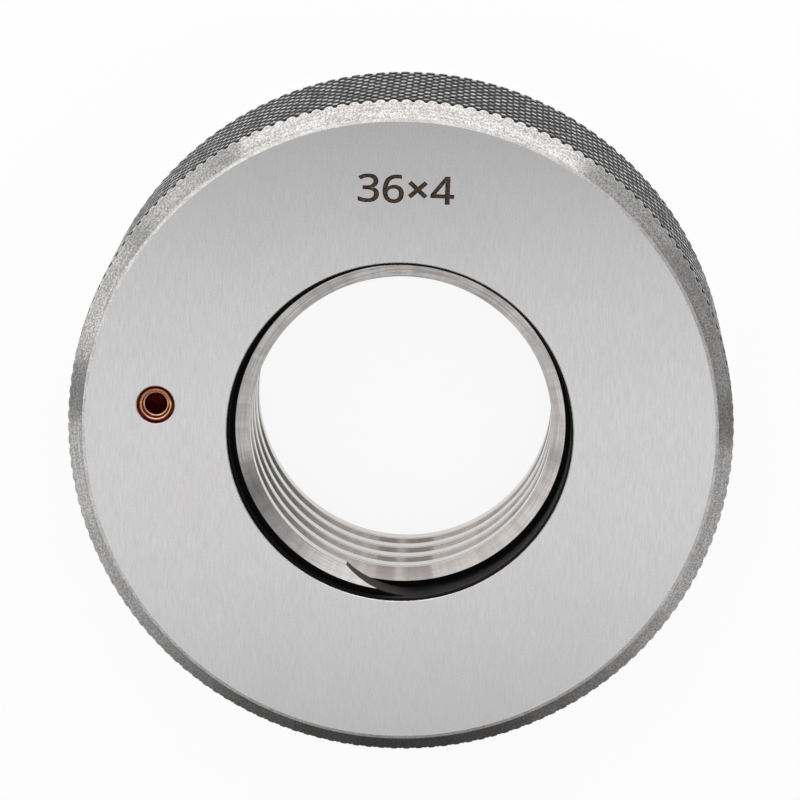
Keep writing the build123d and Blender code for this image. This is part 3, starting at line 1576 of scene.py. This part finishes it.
@dataclass
class Studio:
    """Pale floor, soft light and the camera of the photograph."""

    aim: Point
    floor_half: float = 2.0
    floor_drop: float = 0.02 * MM
    floor_level: float = 1.12
    floor_share: float = 0.8
    floor_colour: Colour = (0.9, 0.9, 0.9, 1.0)
    camera_place: Point = (13.164 * MM, 102.229 * MM, 458.488 * MM)
    frame_pixels: float = 800.0
    focal_pixels: float = 4211.4
    sensor_width: float = 36.0
    clip_start: float = 10.0 * MM
    sky: Sky = field(default_factory=Sky)

    def cards(self) -> list[Card]:
        """Lists all the cards: the tent, its skirt and the far ones."""
        far = [Card(*turn, radius * MM, low * MM, high * MM) for *turn, radius, low, high in FAR_CARDS]
        return TENT.cards() + SKIRT.cards() + far

    def build_floor(self) -> None:
        """Lays the floor just under the ring, white to the eye and still holding the ring's shadow."""
        mesh = bpy.data.meshes.new("floor")
        half = self.floor_half
        signs = ((-1, -1), (1, -1), (1, 1), (-1, 1))
        mesh.from_pydata([(x * half, y * half, -self.floor_drop) for x, y in signs], [], [(0, 1, 2, 3)])
        floor = link_object("floor", mesh)
        material, shader = start_material("floor_white")
        diffuse = shader.add("ShaderNodeBsdfDiffuse")
        diffuse.inputs["Color"].default_value = self.floor_colour
        path = shader.add("ShaderNodeLightPath")
        seen = shader.math("MAXIMUM", path.outputs["Is Camera Ray"], path.outputs["Is Glossy Ray"])
        seen = shader.math("MAXIMUM", seen, path.outputs["Is Transmission Ray"])
        blend = shader.add("ShaderNodeMixShader")
        shader.feed(blend.inputs[0], shader.math("MULTIPLY", seen, self.floor_share))
        shader.feed(blend.inputs[1], diffuse.outputs[0])
        shader.feed(blend.inputs[2], shader.glow(self.floor_level))
        shader.end(blend.outputs[0])
        mesh.materials.append(material)

    def build_camera(self) -> None:
        """Sets the camera at the photograph's place, aimed without roll so that +Y is up in the picture."""
        data = bpy.data.cameras.new("camera")
        data.sensor_width = self.sensor_width
        data.lens = self.focal_pixels / self.frame_pixels * self.sensor_width
        data.clip_start = self.clip_start
        camera = link_object("camera", data)
        place = Vector(self.camera_place)
        backward = (place - Vector(self.aim)).normalized()
        across = Vector((0.0, 1.0, 0.0)).cross(backward).normalized()
        turn = Matrix((across, backward.cross(across), backward)).transposed()
        camera.matrix_world = Matrix.Translation(place) @ turn.to_4x4()
        bpy.context.scene.camera = camera

    def build(self) -> None:
        """Builds the floor, the light, the cards and the camera."""
        self.build_floor()
        self.sky.build()
        for index, card in enumerate(self.cards()):
            card.build(f"card_{index:02d}")
        self.build_camera()
        bpy.context.scene.view_settings.view_transform = "Standard"


def finishes(ring: Ring, effects: SharedEffects) -> dict[Region, Material]:
    """Makes the ring's materials.

    Args:
        ring: the ring, for its sizes.
        effects: the shared node groups.

    Returns:
        The material of each region.
    """
    chamfer = TurnedSteel(
        name="chamfer_steel",
        colour=(0.76, 0.745, 0.73, 1.0),
        line_colour=(0.56, 0.545, 0.53, 1.0),
        stain_colour=(0.54, 0.505, 0.48, 1.0),
        roughness=0.19,
        fineness=4200.0,
        length=5.0 * MM,
        stain_scale=1500.0,
        stain_amount=0.4,
        speckle=0.55,
        speckle_scale=5200.0,
    )
    hole = TurnedSteel(
        name="eyelet_hole",
        colour=(0.55, 0.065, 0.040, 1.0),
        line_colour=(0.34, 0.036, 0.024, 1.0),
        stain_colour=(0.12, 0.016, 0.012, 1.0),
        roughness=0.45,
        fineness=2400.0,
        length=2.0 * MM,
        stain_scale=900.0,
        stain_amount=0.6,
        metallic=0.0,
        specular=0.3,
    )
    # The edge-break steel is pale: partly the edges' own finish and partly a painted highlight along the
    # edges.
    edge = TurnedSteel(
        name="edge_steel_painted_highlight",
        colour=(0.95, 0.935, 0.915, 1.0),
        line_colour=(0.80, 0.785, 0.765, 1.0),
        stain_colour=(0.62, 0.58, 0.55, 1.0),
        roughness=0.42,
        fineness=5200.0,
        length=4.0 * MM,
        stain_scale=900.0,
        stain_amount=0.5,
        speckle=0.25,
    )
    relief = ShadedReliefWall(ring.thickness)
    return {
        Region.GROUND_FACE: GroundFaceSteel().material(effects),
        Region.RIM_CHAMFER: chamfer.material(effects),
        Region.KNURL: KnurlSteel(ring.radius, ring.knurl.depth).material(effects),
        Region.THREAD: LappedThread(ring.thread.crest_radius, ring.thickness).material(effects),
        Region.RELIEF: relief.material(effects),
        Region.END_WALL: relief.material(effects, on_end=True),
        Region.EDGE_BREAK: edge.material(effects),
        Region.EYELET_HOLE: hole.material(effects),
    }


def dress(piece: Object, node: str | None = None) -> None:
    """Tells the frame where a piece belongs.

    Args:
        piece: the piece.
        node: the solid that the piece stands for, if it does.
    """
    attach(piece, BODY)
    if node is not None:
        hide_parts(node)
    log.info("%s: %d triangles", piece.name, sum(len(poly.vertices) - 2 for poly in piece.data.polygons))


def main() -> None:
    """Builds the gauge and its studio."""
    logging.basicConfig(level=logging.INFO, format="%(name)s: %(message)s")
    low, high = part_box(RING_NODE)
    eyelet_low, eyelet_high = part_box(EYELET_NODE)
    eyelet_centre = ((eyelet_low[0] + eyelet_high[0]) / 2.0, (eyelet_low[1] + eyelet_high[1]) / 2.0)
    thickness = high[2] - low[2]
    ring = Ring(radius=(high[0] - low[0]) / 2.0, thickness=thickness, hole=EyeletHole(eyelet_centre))
    effects = SharedEffects(turning_lines_group(), stains_group())
    dress(ring.build(finishes(ring, effects)), RING_NODE)
    eyelet = Eyelet(centre=eyelet_centre, top=thickness)
    dress(eyelet.build(Copper(eyelet_centre, thickness).material(effects)), EYELET_NODE)
    dark = EtchedMark("marking_dark", (0.024, 0.013, 0.008, 1.0), (0.042, 0.025, 0.016, 1.0))
    light = EtchedMark("marking_light", (0.056, 0.035, 0.023, 1.0), (0.145, 0.098, 0.069, 1.0))
    for layer in Marking(top=thickness).build(dark.material(), light.material()):
        dress(layer)
    Studio(aim=(0.039 * MM, 3.672 * MM, thickness)).build()


if __name__ == "__main__":
    main()
